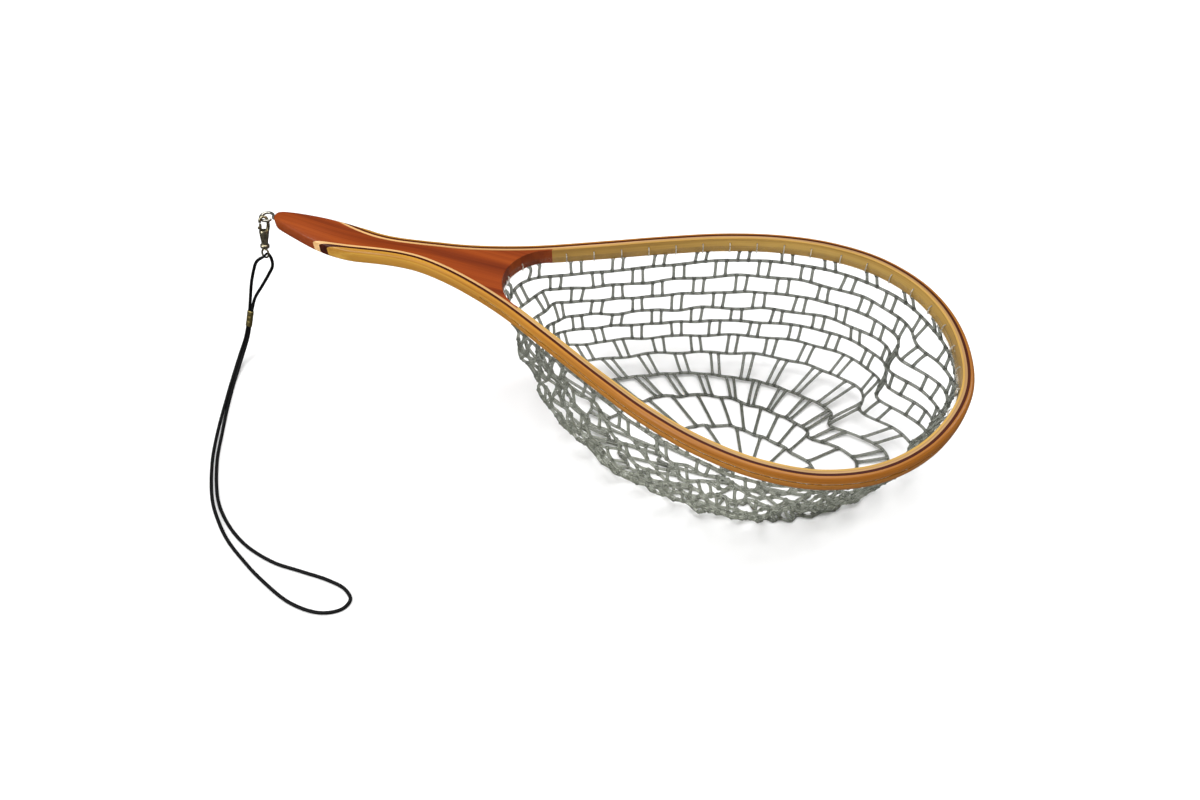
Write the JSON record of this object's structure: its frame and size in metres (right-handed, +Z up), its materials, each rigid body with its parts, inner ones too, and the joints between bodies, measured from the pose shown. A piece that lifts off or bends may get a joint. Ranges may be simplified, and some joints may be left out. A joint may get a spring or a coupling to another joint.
{
  "type": "landing net",
  "caption": "Hand landing net: laminated wooden teardrop hoop and handle, clear moulded rubber net bag, and a cord lanyard on a swivel snap.",
  "frame": {"origin": "under the middle of the net without its lanyard, on the surface that the bag stands on", "axes": "+X from the handle's butt to the hoop's tip, +Y to the left of +X, +Z up out of the hoop"},
  "size_m": [0.6511, 0.4077, 0.147],
  "materials": {
    "core_wood": "gloss varnish",
    "pale_wood": "gloss varnish",
    "dark_wood": "gloss varnish",
    "golden_wood": "gloss varnish",
    "clear_rubber": "clear, slightly frosted",
    "clear_line": "clear nylon",
    "nickel_steel": "nickel plated, worn",
    "aged_brass": "aged",
    "crimp_brass": "satin",
    "black_cord": "braided"
  },
  "bodies": {
    "net_frame": {"handle_core": "core_wood", "inner_strip": "pale_wood", "pale_strip": "pale_wood", "dark_strip": "dark_wood", "outer_strip": "golden_wood", "net_bag": "clear_rubber", "lacing_line": "clear_line", "screw_eye": "nickel_steel", "lanyard_cord": "black_cord", "cord_ferrule": "crimp_brass"},
    "snap": {"snap_body": "aged_brass", "gate_pin": "nickel_steel", "gate_spring": "nickel_steel"},
    "gate": {"snap_gate": "aged_brass"},
    "swivel": {"swivel_eye": "aged_brass"}
  },
  "joints": [
    {"name": "snap_swing", "type": "hinge", "parent": "net_frame", "child": "snap", "pos_m": [-0.30595, -0.0058, 0.1399], "axis": [1, 0, 0], "range_deg": [-65, 65], "deforming": ["lanyard_cord"]},
    {"name": "swivel_turn", "type": "hinge", "parent": "snap", "child": "swivel", "pos_m": [-0.30595, -0.01401, 0.11735], "axis": [0, -0.342, -0.9397], "range_deg": [-35, 35], "deforming": ["lanyard_cord"]},
    {"name": "gate_open", "type": "hinge", "parent": "snap", "child": "gate", "pos_m": [-0.30696, -0.01226, 0.1282], "axis": [-0.8988, 0.412, -0.1499], "range_deg": [0, 22], "stiffness_Nm_per_rad": 0.004, "springref_deg": -20.05}
  ]
}
